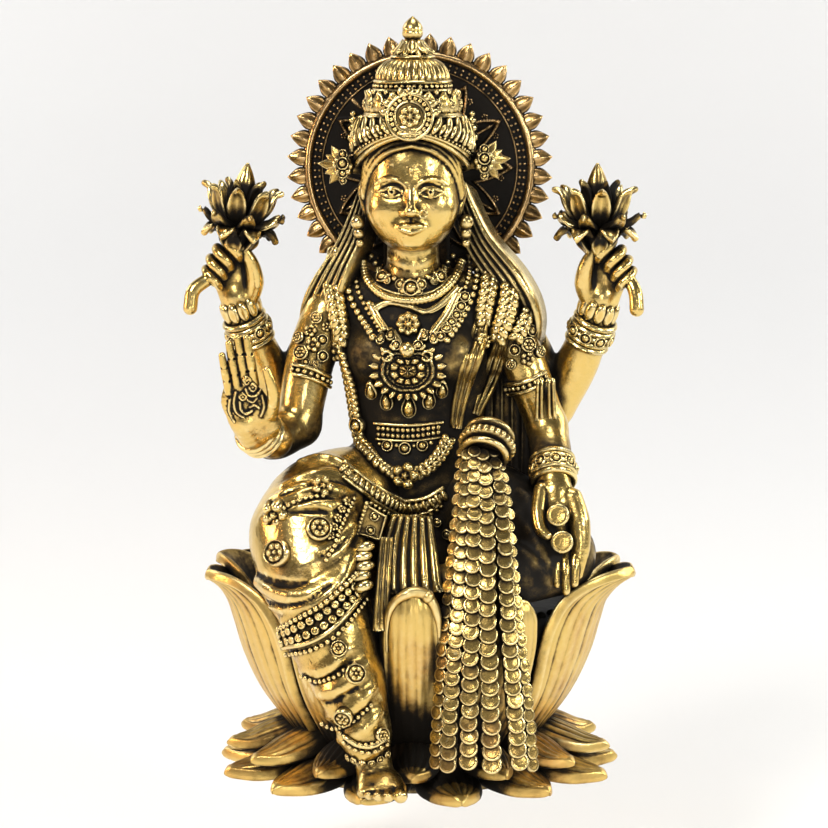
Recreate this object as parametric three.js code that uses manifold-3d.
// A seated four-armed goddess of fortune, cast in brass as one piece with her lotus plinth and rayed halo.
// Millimetres, +Z up. The figure faces -Y, and the origin is the centre of the plinth's flat underside.
import * as THREE from "three";
import { mergeVertices } from "three/addons/utils/BufferGeometryUtils.js";
import Module from "manifold-3d";

const wasm = await Module();
wasm.setup();

// Driving dimensions
const figureHeight = 112.5; // seat to the tip of the crown
const seatHeight = 37.5; // ground to the seat inside the lotus
const plinth = {
  depthShare: 0.86, // the lotus is an oval, wider than it is deep
  underRadius: 24, // flat foot under the lotus
  waistRadius: 22, // narrowest place, between the two rings of petals
  waistHeight: 6.5,
  seatRadius: 36,
  tipRadius: 42.6, // tips of the tall petals
  tipRise: 4.2, // their height above the seat
  tallPetals: 9,
  petalThickness: 2.6,
  notchDepth: 0.26, // how far the rim drops between two tips, as a share of the petals' height
  lowRadius: 39.6, // tips of the low petals that lie on the ground
  lowNotch: 9.5,
  lowPetals: 13,
  lowThickness: 3.4,
};
const halo = {
  rimRadius: 22.2,
  rimWidth: 1.6,
  rimDepth: 2.6,
  plateDepth: 1.5,
  teeth: 40,
  rimSides: 22,
  toothLength: 3.7,
  starPoints: 12,
  starRadius: 18.8,
  starNotch: 12.5,
  starDepth: 0.9,
};
const coins = { strands: 4, perStrand: 13, thickness: 0.75, strandWidth: 4.7 };

// The figure is laid out on a carver's grid of 75 squares, from the seat at 25 to the crown's tip at 100.
const SEAT_LEVEL = 25;
const square = figureHeight / (100 - SEAT_LEVEL);
const onGrid = (x, y, z) =>
  new THREE.Vector3(x * square, y * square, seatHeight + (z - SEAT_LEVEL) * square);
const path = (...points) => points.map((p) => onGrid(...p));
// A place round the plinth's axis, with angles in degrees from the front.
const roundAxis = (radius, degrees, z) => {
  const angle = THREE.MathUtils.degToRad(degrees);
  const depth = plinth.depthShare * radius;
  return new THREE.Vector3(radius * Math.sin(angle), -depth * Math.cos(angle), z);
};

// A closed mesh as a solid that can be joined and cut.
function solidOf(geometry) {
  const bare = new THREE.BufferGeometry();
  bare.setAttribute("position", geometry.getAttribute("position").clone());
  if (geometry.index) bare.setIndex(geometry.index.clone());
  const merged = mergeVertices(bare, 1e-4);
  const make = (triVerts) =>
    new wasm.Manifold(
      new wasm.Mesh({
        numProp: 3,
        vertProperties: new Float32Array(merged.attributes.position.array),
        triVerts,
      }),
    );
  const order = new Uint32Array(merged.index.array);
  const made = make(order);
  if (made.volume() > 0) return made;
  for (let i = 0; i < order.length; i += 3)
    [order[i + 1], order[i + 2]] = [order[i + 2], order[i + 1]];
  return make(order);
}

const joined = (solids) => wasm.Manifold.union(solids);

// Skins a row of rings that have as many points each, with a raised fan at both ends.
function skin(rings, bulge = 0) {
  const count = rings[0].length;
  const places = rings.flat();
  const index = [];
  for (let i = 0; i + 1 < rings.length; i++)
    for (let j = 0; j < count; j++) {
      const a = i * count + j;
      const b = i * count + ((j + 1) % count);
      index.push(a, b, a + count, b, b + count, a + count);
    }
  const middle = (ring) =>
    ring.reduce((sum, p) => sum.add(p), new THREE.Vector3()).divideScalar(count);
  const cap = (ring, neighbour, first, turned) => {
    const centre = middle(ring);
    const outward = centre.clone().sub(middle(neighbour)).normalize();
    const reach = bulge * ring[0].distanceTo(centre);
    places.push(centre.addScaledVector(outward, reach));
    for (let j = 0; j < count; j++) {
      const next = (j + 1) % count;
      const pair = turned ? [first + next, first + j] : [first + j, first + next];
      index.push(places.length - 1, ...pair);
    }
  };
  cap(rings[0], rings[1], 0, true);
  cap(rings.at(-1), rings.at(-2), (rings.length - 1) * count, false);
  const geometry = new THREE.BufferGeometry().setFromPoints(places);
  return solidOf(geometry.setIndex(index));
}

const both = (radius) => (Array.isArray(radius) ? radius : [radius, radius]);

// A limb along points, with a radius in grid squares at each, or a wide and a thin one.
function limb(points, radii, { sides = 8, wide = [1, 0, 0], steps = 0, bulge = 0.5 } = {}) {
  const curve = new THREE.CatmullRomCurve3(points, false, "centripetal");
  const last = points.length - 1;
  const stations = steps || last;
  const rings = [];
  for (let i = 0; i <= stations; i++) {
    const along = i / stations;
    const low = Math.min(Math.floor(along * last), last - 1);
    const share = along * last - low;
    const centre = curve.getPoint(along);
    const ahead = curve.getTangent(along);
    const across = new THREE.Vector3(...wide).projectOnPlane(ahead).normalize();
    const over = ahead.clone().cross(across);
    const [wideR, thinR] = [0, 1].map((k) =>
      THREE.MathUtils.lerp(both(radii[low])[k], both(radii[low + 1])[k], share),
    );
    rings.push(ellipseRing(centre, across, over, wideR * square, thinR * square, sides));
  }
  return skin(rings, bulge);
}

function ellipseRing(centre, across, over, wideRadius, thinRadius, sides) {
  return Array.from({ length: sides }, (_, j) => {
    const turn = (2 * Math.PI * j) / sides;
    return centre
      .clone()
      .addScaledVector(across, wideRadius * Math.cos(turn))
      .addScaledVector(over, thinRadius * Math.sin(turn));
  });
}

// A string of beads: a limb whose radius swells once for each bead.
function beads(points, radius, count, options = {}) {
  const curve = new THREE.CatmullRomCurve3(points, false, "centripetal");
  const places = curve.getPoints(2 * count);
  const radii = places.map((_, i) => (i % 2 ? radius : 0.7 * radius));
  return limb(places, radii, { sides: 5, wide: [0, 1, 0], bulge: 0, ...options });
}

// A ring of metal round a limb: short, and thicker than the limb by half a square.
const band = (from, to, radius) =>
  limb(path(from, to), [radius, radius], { sides: 8, bulge: 0 });

function ball([x, y, z], [rx, ry, rz], detail = 1) {
  const geometry = new THREE.IcosahedronGeometry(square, detail).scale(rx, ry, rz);
  const centre = onGrid(x, y, z);
  return solidOf(geometry.translate(centre.x, centre.y, centre.z));
}

// A turned shape about an upright line. The profile is [radius, height] pairs.
function turned(profile, segments, place = new THREE.Vector3()) {
  const points = profile.map(([radius, height]) => new THREE.Vector2(radius, height));
  const geometry = new THREE.LatheGeometry(points, segments);
  geometry.rotateX(Math.PI / 2);
  return solidOf(geometry.translate(place.x, place.y, place.z));
}

// A thick sheet that hangs down a path in ridges side by side, like pleats or closed fingers.
function ridgedSheet(points, halfWidths, ridges, depth) {
  const curve = new THREE.CatmullRomCurve3(points, false, "centripetal");
  const last = halfWidths.length - 1;
  const rings = halfWidths.map((half, i) => {
    const centre = curve.getPoint(i / last);
    const side = new THREE.Vector3(1, 0, 0);
    const front = curve.getTangent(i / last).cross(side).normalize();
    const at = (share, raised) =>
      centre.clone().addScaledVector(side, share * half * square).addScaledVector(front, raised * square);
    const crest = Array.from({ length: 2 * ridges + 1 }, (_, j) => {
      const share = j / ridges - 1;
      return at(share, (j % 2 ? 1 : 0.25) * depth - 0.8 * depth * share ** 2);
    });
    return [...crest, at(0.9, -2 * depth), at(-0.9, -2 * depth)];
  });
  return skin(rings);
}

// Skins rings whose radius and height are set by a function of the station and of the place round the axis.
function petalRing(count, pointsPerPetal, stations, placeOf) {
  const around = count * pointsPerPetal;
  return skin(
    stations.map((station) =>
      Array.from({ length: around }, (_, j) => {
        const half = pointsPerPetal / 2;
        const fromMiddle = Math.abs(((j + half) % pointsPerPetal) - half) / half;
        const { radius, z } = placeOf(station, fromMiddle);
        return roundAxis(radius, (-360 * j) / around, z);
      }),
    ),
  );
}

// The lotus seat: tall petals round a bowl, each bulging in its middle and pointed at its tip.
function tallPetals() {
  const {
    underRadius, waistRadius, waistHeight, tipRadius, tipRise, seatRadius, petalThickness,
  } = plinth;
  const stations = [
    { out: 0, up: 0, bulge: 0.05 },
    { out: 0.44, up: 0.28, bulge: 0.22 },
    { out: 0.7, up: 0.62, bulge: 0.27 },
    { out: 1, up: 1, bulge: 0.3, rim: true },
  ];
  const top = seatHeight + tipRise;
  const outside = ({ out, up, bulge, rim }, fromMiddle) => {
    const fall = rim ? fromMiddle ** 1.2 : 0;
    return {
      radius: THREE.MathUtils.lerp(waistRadius, tipRadius, out - bulge * fromMiddle ** 1.6),
      z: THREE.MathUtils.lerp(waistHeight, top, up - plinth.notchDepth * fall),
    };
  };
  const inside = (fromMiddle) => {
    const edge = outside(stations.at(-1), fromMiddle);
    return { radius: edge.radius - petalThickness, z: edge.z + 0.2 * petalThickness * fromMiddle };
  };
  return petalRing(plinth.tallPetals, 6, ["foot", ...stations, "inside", "seat"], (station, fromMiddle) => {
    if (station === "foot") return { radius: underRadius, z: 0 };
    if (station === "inside") return inside(fromMiddle);
    if (station === "seat") return {
      radius: seatRadius - plinth.petalThickness,
      z: seatHeight - 0.8 * tipRise,
    };
    return outside(station, fromMiddle);
  });
}

// The ring of low petals that lie on the ground round the waist.
function lowPetals() {
  const { waistRadius, waistHeight, lowRadius, lowNotch, lowThickness } = plinth;
  const stations = [
    { out: 1, z: 0, notch: 1 },
    { out: 1, z: 0.55 * lowThickness, notch: 1 },
    { out: 0.66, z: 1.2 * lowThickness, notch: 0.6 },
    { out: 0.22, z: waistHeight, notch: 0.2 },
    { out: -0.15, z: 1.25 * waistHeight, notch: 0 },
  ];
  return petalRing(plinth.lowPetals, 4, stations, ({ out, z, notch }, fromMiddle) => ({
    radius: THREE.MathUtils.lerp(waistRadius, lowRadius, out) - notch * lowNotch * fromMiddle ** 1.3,
    z: z * (1 - 0.3 * fromMiddle * notch),
  })).rotate([0, 0, 180 / plinth.lowPetals]);
}

// Legs in a wrapped skirt. The right leg hangs, and its foot stands on a low petal.
const footRest = plinth.lowThickness / square;
const footPoint = (x, y, z) =>
  new THREE.Vector3(x * square, (y * square * plinth.lowRadius) / 41, (footRest + z) * square);

function hangingLeg() {
  const thigh = limb(
    path([-4, 1, 35.4], [-8, -4, 37.4], [-12.5, -9.5, 36.8], [-14.2, -12.6, 33.4]),
    [[6.5, 7], [7, 6.8], [7, 6.4], [7.2, 7]],
    { sides: 9, wide: [0.6, -0.6, 0], steps: 4, bulge: 0.5 },
  );
  const shinPath = [
    onGrid(-13, -12.6, 38.4),
    onGrid(-13.4, -14, 34.4),
    onGrid(-12.8, -15.6, 29.6),
    onGrid(-11.6, -17, 26),
    onGrid(-10.2, -18.6, 22),
    onGrid(-9, -19.6, 19),
    onGrid(-8, -20.2, 16.4),
    onGrid(-6.8, -20.8, 13),
    onGrid(-5.8, -21.2, 9.6),
    footPoint(-5.2, -21.4, 4.4),
    footPoint(-4.8, -21, 1),
  ];
  const shin = limb(
    shinPath,
    [4.4, 7.2, 7.6, 6.2, 6.4, 4.9, 5, 3.8, 3.6, 2.1, 1.8],
    { sides: 9, bulge: 0.2 },
  );
  const sole = limb(
    [footPoint(-4.9, -20, 0.9), footPoint(-4.4, -22.4, 1.3), footPoint(-3.8, -24.6, 0.4)],
    [[1.7, 1.6], [2, 1.8], [2.3, 0.9]],
    { sides: 7, bulge: 0.3 },
  );
  const toes = ridgedSheet(
    [footPoint(-4, -23.4, 0.9), footPoint(-3.6, -25.2, 0.5), footPoint(-3.4, -26.8, 0)],
    [2, 2.5, 2.4],
    5,
    0.5,
  );
  const hem = limb(
    path([-19, -16, 24.4], [-15.4, -22.4, 21.6], [-9.6, -25, 23.4], [-4.6, -22, 27.6], [-4, -18, 30]),
    [[1.2, 0.9], [1.6, 0.7], [1.6, 0.7], [1.4, 0.7], [0.8, 0.7]],
    { sides: 4, wide: [0, 0, 1] },
  );
  return [thigh, shin, hem, sole, toes];
}

function foldedLeg() {
  return [
    limb(
      path([4, 1, 35], [9, -3.5, 36], [15, -7, 34], [20, -8.6, 30.6]),
      [[6.4, 6.6], [6.4, 6.2], [5.8, 5.4], [4.2, 4.6]],
      { sides: 9, wide: [0.4, 0.9, 0], steps: 4, bulge: 0.6 },
    ),
    limb(path([19.6, -9.6, 29.6], [11, -14.6, 28.6], [1.5, -15.4, 27.6]), [4.3, 3.8, 2], {
      sides: 7,
      wide: [0, 0, 1],
    }),
    ball([0, 3, 31], [12.4, 8.6, 7.5]),
  ];
}

function sash() {
  return [
    ridgedSheet(
      path([0, -8, 39.4], [-0.4, -13, 36.6], [-1, -17.2, 32.6], [-1.4, -20, 27.6]),
      [3.4, 4.2, 5.2, 5.6],
      6,
      1.1,
    ),
  ];
}

function torso() {
  const trunk = limb(
    path(
      [0, 0, 34], [0, -1, 39], [0, -1.4, 44.5], [0, -1.3, 50], [-0.2, -2, 56.4],
      [-0.3, -0.8, 61.6], [-0.4, -0.2, 65],
    ),
    [[9.8, 7.4], [9.2, 7.4], [8.6, 4.9], [9.6, 5.2], [10.2, 6.2], [10, 4.8], [4.6, 3.4]],
    { sides: 12, steps: 7, bulge: 0.3 },
  );
  const shoulders = limb(path(
    [-11.2, 0, 61.4], [-5, -0.4, 63.8], [5, -0.4, 64], [11, 0, 61.8],
  ), [2.9, 3.3, 3.3, 2.9], {
    sides: 7,
    wide: [0, 1, 0],
  });
  const neck = limb(path([-0.4, -1.4, 64], [-0.5, -2.2, 73]), [3.4, 3.1], { sides: 8, bulge: 0 });
  return [trunk, shoulders, neck];
}

// The head is skinned from level rings. Brow, nose, lips, cheeks and chin are swellings of its front.
function head() {
  const centre = { x: -0.5, y: -2.6 };
  const sides = 16;
  const levels = [70.2, 71.1, 72.7, 74.2, 75.2, 76.6, 77.8, 79.2, 80.6, 82.6];
  const swell = (value, at, width) => Math.exp(-(((value - at) / width) ** 2));
  const rings = levels.map((z) => {
    const fromChin = (z - 69.9) / 13.5;
    const half = 6.4 * Math.min(1, 0.36 + 0.95 * fromChin ** 0.6 - 0.2 * fromChin);
    const front = 5.9 * Math.min(1, 0.72 + 0.4 * Math.sqrt(fromChin));
    return Array.from({ length: sides }, (_, j) => {
      const turn = (2 * Math.PI * j) / sides;
      const across = Math.sin(turn);
      const ahead = Math.cos(turn);
      const facing = Math.max(ahead, 0) ** 2;
      const side = Math.abs(across * half);
      const noseTip = 1.5 * swell(side, 0, 0.8) * swell(z, 76.8, 1.1);
      const bridge = 0.5 * swell(side, 0, 0.7) * swell(z, 78.6, 1.2);
      const lips = 0.6 * swell(side, 0, 1.7) * swell(z, 74.2, 0.6);
      const chin = 0.5 * swell(side, 0, 1.5) * swell(z, 72, 0.8);
      const eye = -0.55 * swell(side, 2.4, 1.1) * swell(z, 79.4, 0.6);
      const brow = 0.25 * swell(side, 2.4, 1.8) * swell(z, 81, 0.7);
      const depth = (ahead > 0 ? front : 5.4) * ahead + facing * (noseTip + bridge + lips + chin + eye + brow);
      return onGrid(centre.x + half * across, centre.y - depth, z);
    });
  });
  const ears = [-1, 1].map((side) =>
    limb(
      path([side * 6 - 0.5, -2.6, 80], [side * 6.4 - 0.5, -2.7, 76.4], [side * 6.6 - 0.5, -3, 71.6]),
      [1.2, 0.9, 1.3],
      { sides: 5, bulge: 0.3 },
    ),
  );
  return [skin(rings), ...ears];
}

function crown() {
  const place = onGrid(-0.5, -2.4, SEAT_LEVEL).setZ(0);
  const level = (z) => onGrid(0, 0, z).z;
  const profile = [
    [0, 81], [7.6, 81], [7.8, 83], [6.8, 86.6], [5.6, 87.2], [5.9, 88.6], [4.9, 91.2], [4.5, 92.6],
    [3.2, 94.2], [2.2, 94.8], [2, 95.8], [0.8, 97.2], [1.25, 98.3], [0, 100],
  ];
  const tiers = turned(profile.map(([radius, z]) => [radius * square, level(z)]), 13, place);
  const band = limb(
    path(
      [-7.6, -2.2, 80.4], [-5.8, -7.4, 83.4], [-0.5, -9.4, 84.6], [4.8, -7.4, 83.4],
      [6.6, -2.2, 80.4],
    ),
    [0.8, 0.9, 1, 0.9, 0.8],
    { sides: 4, steps: 6, wide: [0, 0, 1], bulge: 0 },
  );
  const plaqueSizes = [[2.4, 0.9], [2.5, 1.1], [0.6, 0.8]];
  const plaque = limb(path([-0.5, -9, 84.6], [-0.5, -9.5, 87.4], [-0.5, -9, 90.6]), plaqueSizes, {
    sides: 6,
    bulge: 0,
  });
  const flares = [-1, 1].map((side) =>
    limb(path(
      [side * 6.9 - 0.5, -2, 80],
      [side * 8.6 - 0.5, -1.4, 82.4],
      [side * 10.8 - 0.5, -0.4, 86],
    ), [1.6, 1.7, 0.3], {
      sides: 5,
    }),
  );
  return [tiers, band, plaque, ...flares];
}

// The halo stands upright behind the head: a toothed plate with a raised rim and a pointed star.
function haloPlate() {
  const centre = onGrid(0.1, 7, 80);
  const ring = (count, radiusOf, depth) => {
    const shape = new THREE.Shape(
      Array.from({ length: count }, (_, k) => {
        const turn = (2 * Math.PI * k) / count;
        return new THREE.Vector2(Math.sin(turn), Math.cos(turn)).multiplyScalar(radiusOf(k));
      }),
    );
    const geometry = new THREE.ExtrudeGeometry(shape, { depth, bevelEnabled: false });
    return geometry.rotateX(Math.PI / 2);
  };
  const put = (geometry, forward) =>
    solidOf(geometry.translate(centre.x, centre.y + forward, centre.z));
  const outer = halo.rimRadius + halo.toothLength;
  const plate = ring(
    2 * halo.teeth,
    (k) => (k % 2 ? outer - 0.75 * halo.toothLength : outer),
    halo.plateDepth,
  );
  const star = ring(
    2 * halo.starPoints,
    (k) => (k % 2 ? halo.starNotch : halo.starRadius),
    halo.starDepth,
  );
  const rim = new THREE.TorusGeometry(
    halo.rimRadius, halo.rimWidth / 2, 4, halo.rimSides,
  ).rotateX(Math.PI / 2);
  const stalk = limb(
    path([-0.3, 6.4, 64], [-0.3, 5, 72], [-0.4, 2, 78]),
    [[4.5, 1.6], [4.5, 2.4], [4.8, 5]],
    { sides: 8 },
  );
  return [
    put(plate, halo.plateDepth),
    put(star, 0),
    put(rim, 0),
    stalk,
  ];
}

// The loose hair and the veil that fall from behind the ears over the shoulders.
function veil() {
  const falls = [-1, 1].map((side) =>
    limb(
      path(
        [side * 5.4 - 0.5, 0, 77],
        [side * 8.6 - 0.2, 0.6, 69.6],
        [side * 12.4 + 0.4, 0.2, 64],
        [side * 13.2 + 0.4, 0.8, 57],
      ),
      [[1.8, 2.6], [2.4, 3], [2.6, 3.2], [1.6, 2.4]],
      { sides: 7, steps: 4 },
    ),
  );
  const end = limb(
    path([11.8, 0.8, 60], [12.4, 1, 48], [12, 0, 36]),
    [[3.8, 1.6], [4, 1.8], [4, 2]],
    { sides: 6 },
  );
  return [...falls, end];
}

// The front right arm is raised in blessing, with its palm to the front.
function blessingArm() {
  const arm = [
    limb(
      path(
        [-11.8, -0.5, 61.4], [-13.7, -1.9, 56], [-14, -2.2, 55], [-14.4, -2.6, 52.8],
        [-14.6, -2.8, 52], [-15.4, -3.8, 46.8],
      ),
      [3.2, 3.2, 3.8, 3.8, 3.1, 2.7],
      { sides: 8 },
    ),
    limb(
      path(
        [-15.2, -3.4, 46.8], [-18.4, -7.6, 45.8], [-19.9, -10.1, 46.6], [-20.2, -10.5, 46.9],
        [-21, -12, 48.2], [-21.2, -12.4, 48.6],
      ),
      [2.8, 2.9, 2.7, 3.2, 3, 2.3],
      { sides: 8, wide: [0, 0, 1], bulge: 0.3 },
    ),
    limb(
      path([-21.2, -13, 48.2], [-21.6, -14, 51], [-21.9, -14.4, 54]),
      [[2.2, 1.5], [2.9, 1.5], [2.7, 0.9]],
      { sides: 7 },
    ),
  ];
  const fingers = ridgedSheet(
    path([-23, -15.2, 60], [-22.8, -14.9, 57], [-22.2, -14.6, 53]),
    [1.9, 2.5, 2.6],
    4,
    0.6,
  );
  const thumb = limb(
    path([-18.9, -13.8, 51], [-18.3, -14.8, 53.6], [-18.7, -15.4, 56.6]),
    [1.1, 1, 0.7],
    { sides: 5 },
  );
  return [...arm, fingers, thumb];
}

// The front left arm lets coins fall from an open hand.
function givingArm() {
  const coin = (x, y, z) =>
    turned([[0, 0], [1.9 * square, 0], [1.9 * square, 0.7 * square], [0, 0.7 * square]], 8)
      .rotate([80, 0, 0])
      .translate(onGrid(x, y, z).toArray());
  const arm = [
    limb(
      path(
        [11.2, -0.5, 61.8], [13.6, -1.4, 56], [13.9, -1.5, 55.2], [14.6, -1.7, 53.4],
        [14.9, -1.8, 52.6], [17.2, -2.4, 46.4],
      ),
      [3, 2.9, 3.5, 3.5, 2.8, 2.5],
      { sides: 8 },
    ),
    limb(
      path(
        [17, -2, 47], [17.7, -5.4, 43.4], [17.8, -6.6, 42.2], [17.8, -7, 41.8], [18, -9, 39.8],
        [18, -9.4, 39.2],
      ),
      [2.6, 2.7, 2.5, 3, 2.8, 2],
      { sides: 8, bulge: 0.3 },
    ),
    limb(
      path([18, -9.2, 39.2], [18.5, -11.4, 36], [18.9, -12.4, 33.4]),
      [[1.9, 1.5], [2.8, 1.6], [2.6, 0.9]],
      { sides: 7 },
    ),
    coin(18, -12.4, 38),
    coin(18.4, -13.4, 35),
  ];
  const fingers = ridgedSheet(
    path([18.8, -11.6, 34.4], [19, -13.2, 31.4], [19.3, -14.4, 28]),
    [2.4, 2.4, 1.9],
    4,
    0.6,
  );
  const thumb = limb(path([16.5, -11.8, 37], [16.2, -13.6, 32.8]), [1.1, 0.7], { sides: 5 });
  return [...arm, fingers, thumb];
}

// The two rear arms lift lotus flowers beside the halo. They mirror each other.
function liftingArm(side) {
  const mirror = (...points) => path(...points.map(([x, y, z]) => [side * x + 0.3, y, z]));
  const upper = limb(
    mirror([11.4, 1.6, 61.4], [14.6, 3.4, 55.6], [17.4, 4, 48.6]),
    [3, 3, 3],
    { sides: 8 },
  );
  const fore = limb(
    mirror(
      [17.6, 3.6, 48.4], [20.8, 2.2, 54.4], [22, 1.4, 57.4], [22.2, 1.2, 57.8],
      [23.1, 0.4, 60.2], [23.3, 0.2, 60.8], [23.6, -0.4, 63.2], [23.9, -0.8, 67],
    ),
    [3, 2.9, 2.7, 3.1, 2.9, 2.3, [2.3, 1.8], [2.2, 1.3]],
    { sides: 8 },
  );
  const fist = limb(
    mirror([24.4, -1.8, 70], [25, -2.2, 67.6], [25.3, -2, 64.8]),
    [1.5, 2.3, 1.5],
    { sides: 6 },
  );
  const thumb = limb(
    mirror([22.8, -1, 64.4], [22.1, -2.2, 67], [23.4, -3.2, 70]),
    [1.3, 1.3, 0.6],
    { sides: 5 },
  );
  const stem = limb(
    mirror(
      [23.2, -2.4, 73],
      [24.4, -2.7, 69],
      [26, -3, 66.6],
      [28 - 0.5 * side, -3.8, 65],
      [29 - 0.7 * side, -4, 62.2],
    ),
    [1.2, 0.8, 0.8, 0.9, 1],
    { sides: 5, steps: 6, wide: [0, 1, 0], bulge: 0.2 },
  );
  return [upper, fore, fist, thumb, stem, flower(side)];
}

// An open lotus: a cup whose rim stands in points, a lower row of points that curl down, and a bud.
function flower(side) {
  const heart = onGrid(side * 23 + 0.3, -2.2, 73.4);
  const stations = [
    { tip: 1, notch: 1, z: -2.4, dip: 0 },
    { tip: 3, notch: 2, z: -1.9, dip: 0.3 },
    { tip: 5.2, notch: 2.9, z: -1.6, dip: -1 },
    { tip: 3.4, notch: 2.9, z: 0.2, dip: 0 },
    { tip: 5, notch: 3.2, z: 4.4, dip: 2.4 },
    { tip: 2.6, notch: 2.2, z: 2.6, dip: -0.8 },
    { tip: 2.1, notch: 2.1, z: 5.2, dip: 0 },
  ];
  const petals = 7;
  const rings = stations.map(({ tip, notch, z, dip }) =>
    Array.from({ length: 2 * petals }, (_, j) => {
      const radius = j % 2 ? notch : tip;
      const turn = (-Math.PI * j) / petals;
      const level = j % 2 ? z - dip : z;
      const place = new THREE.Vector3(radius * Math.sin(turn), -radius * Math.cos(turn), level);
      return place.multiplyScalar(square).add(heart);
    }),
  );
  return skin(rings, 1.1);
}

// A round pot lies on the lap with its mouth down, and strings of coins pour from it to the ground.
function pot() {
  const profile = [
    [0, -4.3], [2.6, -3.6], [4.1, -1.4], [4.1, 0.8], [2.9, 2], [4.1, 2.5], [4.1, 3.5],
    [3, 3.9], [3.6, 4.4], [3.5, 5.2], [0, 5.2],
  ];
  const place = onGrid(10.6, -10.7, 48.6);
  const upright = turned(profile.map(([radius, height]) => [radius * square, height * square]), 12);
  return [upright.rotate([130, 0, 0]).rotate([0, 0, -15]).translate([place.x, place.y, place.z])];
}

// Strings of overlapping coins that hang side by side, worked as one sheet that widens to the ground.
function coinStrands() {
  const { strands, perStrand, thickness, strandWidth } = coins;
  const foot = plinth.depthShare * plinth.lowRadius - 1.5;
  const fall = new THREE.CatmullRomCurve3([
    onGrid(9.4, -14, 45.6),
    onGrid(9.2, -18.2, 36),
    onGrid(9.2, -21.6, 27),
    onGrid(9.4, -22.4, 18),
    new THREE.Vector3(9.5 * square, -foot, 0.6 * plinth.waistHeight),
  ]);
  const rings = [];
  for (let k = 0; k < perStrand; k++)
    for (const [along, lift] of [[0.05, 0.3], [0.92, 1]]) {
      const t = (k + along) / perStrand;
      const centre = fall.getPoint(t);
      const ahead = fall.getTangent(t);
      const side = new THREE.Vector3(1, 0, 0);
      const front = ahead.clone().cross(side).normalize();
      const width = strandWidth * (0.5 + 0.5 * Math.min(1, 1.6 * t));
      const half = 0.5 * strands;
      const at = (share, raised) => {
        const round = -0.9 * thickness * (share / half) ** 2;
        return centre.clone().addScaledVector(side, share * width).addScaledVector(front, round + raised);
      };
      const ring = [];
      for (let j = 0; j < strands; j++) {
        ring.push(at(j - half + 0.02, 0));
        ring.push(at(j - half + 0.5, thickness * (0.9 + 1.3 * lift)));
      }
      ring.push(at(half, 0), at(0.7 * half, -5 * thickness), at(-0.7 * half, -5 * thickness));
      rings.push(ring);
    }
  return [skin(rings)];
}

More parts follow.
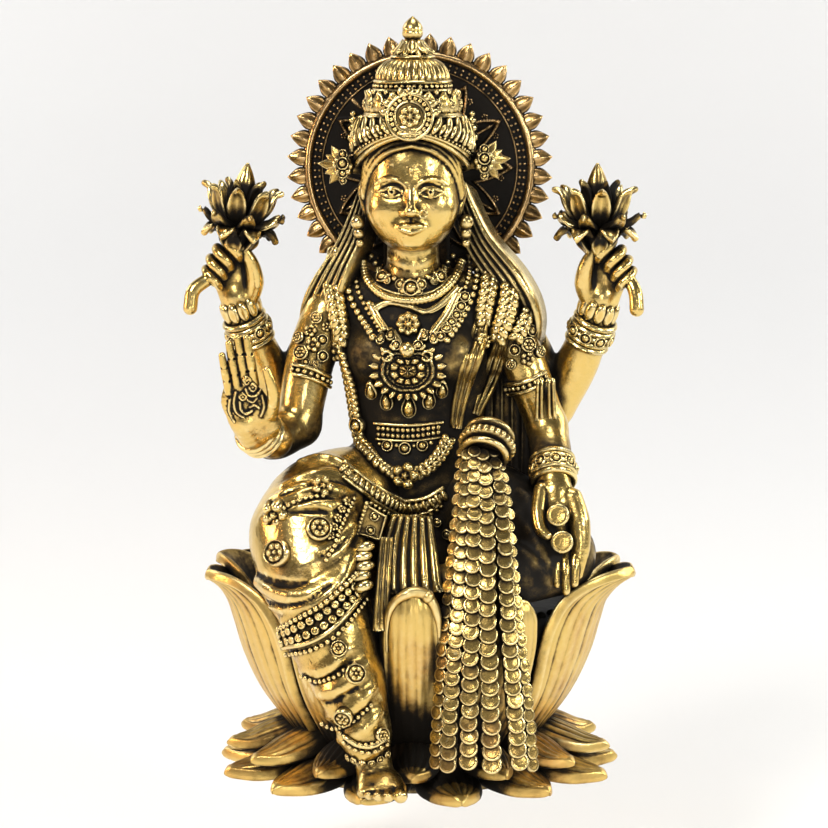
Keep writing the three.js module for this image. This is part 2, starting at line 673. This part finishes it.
function jewellery() {
  const collars = [[4.8, 67.6, 64.9, 1], [6, 66.6, 62, 0.8]].map(([reach, back, front, radius]) =>
    limb(
      path(
        [-reach - 0.5, -1.6, back],
        [-0.7 * reach - 0.5, -6, front + 1.4],
        [-0.5, -7.8, front],
        [0.7 * reach - 0.5, -6, front + 1.4],
        [reach - 0.5, -1.6, back],
      ),
      Array(5).fill(radius),
      { sides: 4, wide: [0, 1, 0], bulge: 0 },
    ),
  );
  const garland = beads(
    path(
      [-10, -3.2, 63], [-10.6, -4.2, 56], [-9.8, -4.6, 49.5], [-7, -6.6, 44.4],
      [-4.4, -8.4, 42], [-1, -9.4, 41], [2.8, -8.4, 42.6], [5.8, -6.4, 47],
    ),
    1.2,
    9,
  );
  const rosette = band([-1, -9, 41.4], [-1, -11, 41.4], 1.7);
  const pendant = limb(
    path([-0.8, -8.6, 59.6], [-0.8, -9.1, 57.8], [-0.8, -9, 55.6], [-0.8, -7.4, 51.6]),
    [[2.6, 0.8], [3.9, 0.9], [3.7, 0.9], [0.6, 0.6]],
    { sides: 6 },
  );
  const belt = limb(path(
    [-8.4, -4.4, 43.4], [-5.4, -9, 39.4], [-0.3, -11, 37.6], [4.8, -9, 39.2],
    [8.2, -4.4, 43.2],
  ), [1, 1, 1, 1, 1], {
    sides: 4,
    bulge: 0,
  });
  const waistband = limb(path(
    [-6.6, -3, 46.6], [-3.6, -6.2, 46.2], [3.6, -6.2, 46.2], [6.6, -3, 46.6],
  ), [0.9, 0.9, 0.9, 0.9], {
    sides: 4,
    wide: [0, 0, 1],
    bulge: 0,
  });
  const scarf = limb(path([9.4, -3.2, 65], [9, -5.6, 58], [7.4, -7, 50], [8.2, -10.6, 44.6]), [
    [1.6, 0.8], [1.7, 1], [1.2, 0.9], [1, 0.9],
  ], {
    sides: 5,
  });
  return [...collars, garland, rosette, pendant, belt, waistband, scarf];
}

// Everything is cast as one. The ground cuts it off flat.
function casting() {
  const pieces = [
    tallPetals(),
    lowPetals(),
    ...hangingLeg(),
    ...foldedLeg(),
    ...sash(),
    ...torso(),
    ...head(),
    ...crown(),
    ...haloPlate(),
    ...veil(),
    ...blessingArm(),
    ...givingArm(),
    ...liftingArm(-1),
    ...liftingArm(1),
    ...pot(),
    ...coinStrands(),
    ...jewellery(),
  ];
  const whole = joined(pieces);
  const ground = solidOf(new THREE.BoxGeometry(400, 400, 40).translate(0, 0, -20));
  return whole.subtract(ground);
}

// The outer skin of a joined solid. Sealed pockets inside are metal, so their skins are left off.
function outerSkin(solid) {
  const { numProp, vertProperties, triVerts, numVert } = solid.getMesh();
  const group = Uint32Array.from({ length: numVert }, (_, i) => i);
  const leader = (i) => {
    while (group[i] !== i) i = group[i] = group[group[i]];
    return i;
  };
  for (let i = 0; i < triVerts.length; i += 3) {
    group[leader(triVerts[i + 1])] = leader(triVerts[i]);
    group[leader(triVerts[i + 2])] = leader(triVerts[i]);
  }
  const height = (i) => vertProperties[i * numProp + 2];
  const highest = triVerts.reduce((best, i) => (height(i) > height(best) ? i : best), triVerts[0]);
  const index = [];
  for (let i = 0; i < triVerts.length; i += 3)
    if (leader(triVerts[i]) === leader(highest)) index.push(...triVerts.slice(i, i + 3));
  const places = new Float32Array(3 * numVert);
  for (let i = 0; i < numVert; i++)
    places.set(vertProperties.subarray(i * numProp, i * numProp + 3), 3 * i);
  const geometry = new THREE.BufferGeometry();
  geometry.setAttribute("position", new THREE.BufferAttribute(places, 3));
  geometry.setIndex(index);
  return geometry;
}

const brass = new THREE.MeshStandardMaterial({ color: 0xb98a3a, metalness: 1, roughness: 0.3 });
const figure = new THREE.Mesh(outerSkin(casting()), brass);
figure.name = "lakshmi_figure";

const part = new THREE.Group();
part.add(figure);
export default part;
